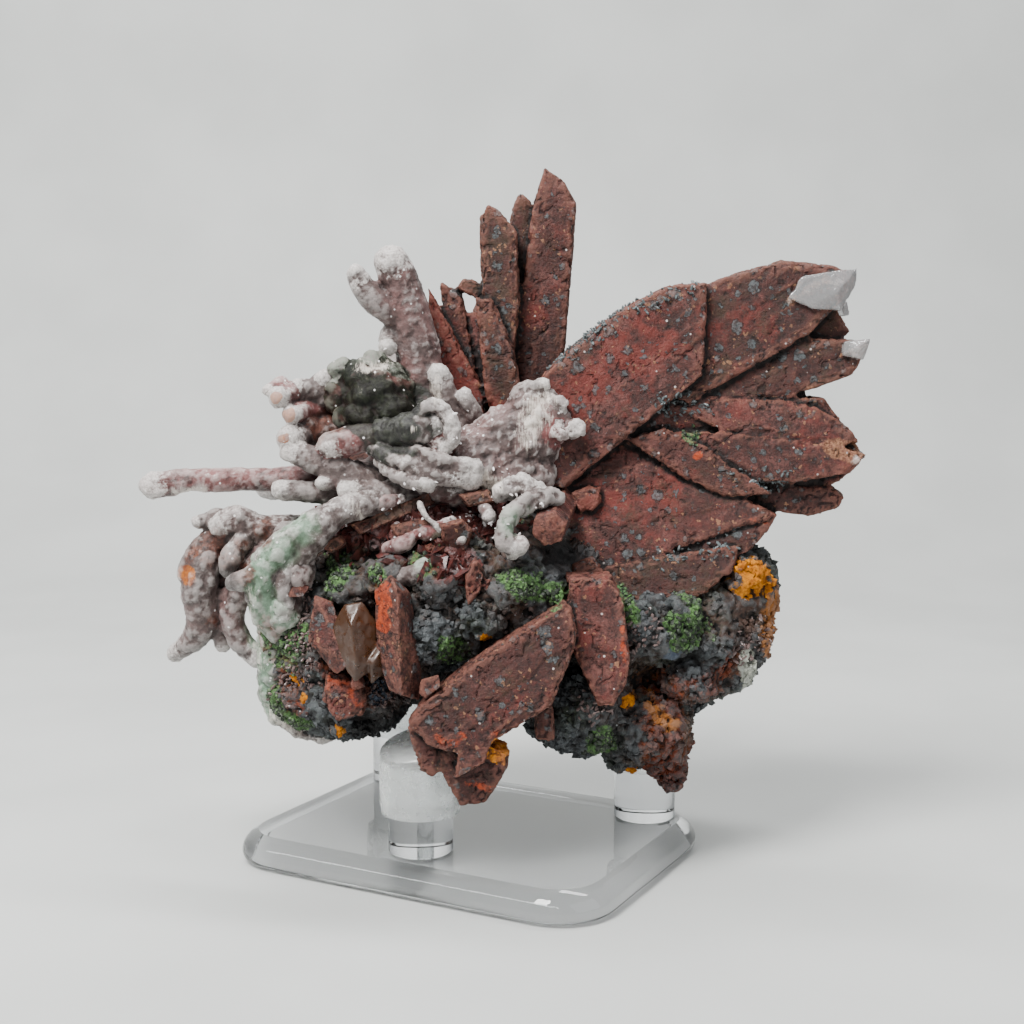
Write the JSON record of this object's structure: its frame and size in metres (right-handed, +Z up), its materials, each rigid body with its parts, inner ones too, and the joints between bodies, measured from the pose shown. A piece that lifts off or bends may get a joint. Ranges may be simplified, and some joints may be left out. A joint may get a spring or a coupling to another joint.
{
  "type": "quartz cluster on a display stand",
  "caption": "Iron-stained quartz crystal cluster with pale silica fingers on dark ironstone, resting on a clear three-post display stand.",
  "frame": {"origin": "middle of the stand plate's underside", "axes": "+Z up, display side towards -Y, +X to the right seen from the display side"},
  "size_m": [0.1442, 0.0865, 0.14],
  "materials": {
    "iron_quartz": "matte brown-red iron stain over quartz, with dark ironstone, pale silica and green and ochre patches",
    "clear_plastic": "polished clear acrylic",
    "frosted_plastic": "soft translucent frosted sleeve"
  },
  "bodies": {
    "root": {"quartz_cluster": "iron_quartz", "stand_plate": "clear_plastic", "rod_front": "clear_plastic", "rod_back_right": "clear_plastic", "rod_back_left": "clear_plastic", "cap_front": "frosted_plastic", "cap_back_right": "frosted_plastic", "cap_back_left": "frosted_plastic"}
  },
  "joints": []
}
